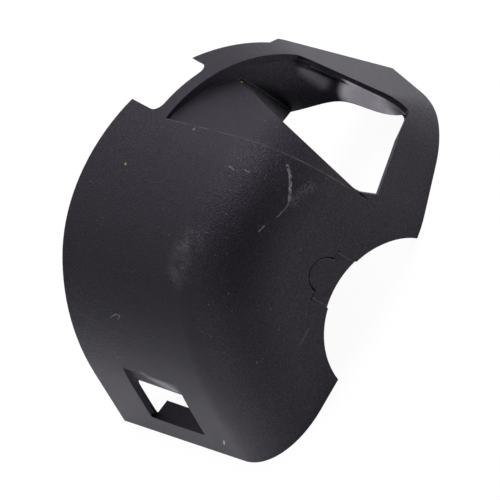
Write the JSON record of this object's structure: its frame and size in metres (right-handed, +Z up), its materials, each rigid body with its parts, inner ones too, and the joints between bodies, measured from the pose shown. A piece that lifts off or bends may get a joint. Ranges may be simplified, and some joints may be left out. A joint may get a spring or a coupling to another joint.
{
  "type": "air filter cover",
  "caption": "Moulded black hood that covers the air filter of a small garden engine, with a half-round pipe notch, a latch window and a scooped air intake.",
  "frame": {"origin": "middle of the box around the cover, on the plane of its rim", "axes": "+X across the hood along the front wall towards the intake side, -Y out through the nose, +Z up through the crown away from the rim"},
  "size_m": [0.1598, 0.1004, 0.0801],
  "materials": {
    "cover_plastic": "fine spark texture, worn and dusty"
  },
  "bodies": {
    "root": {"air_filter_cover": "cover_plastic"}
  },
  "joints": []
}
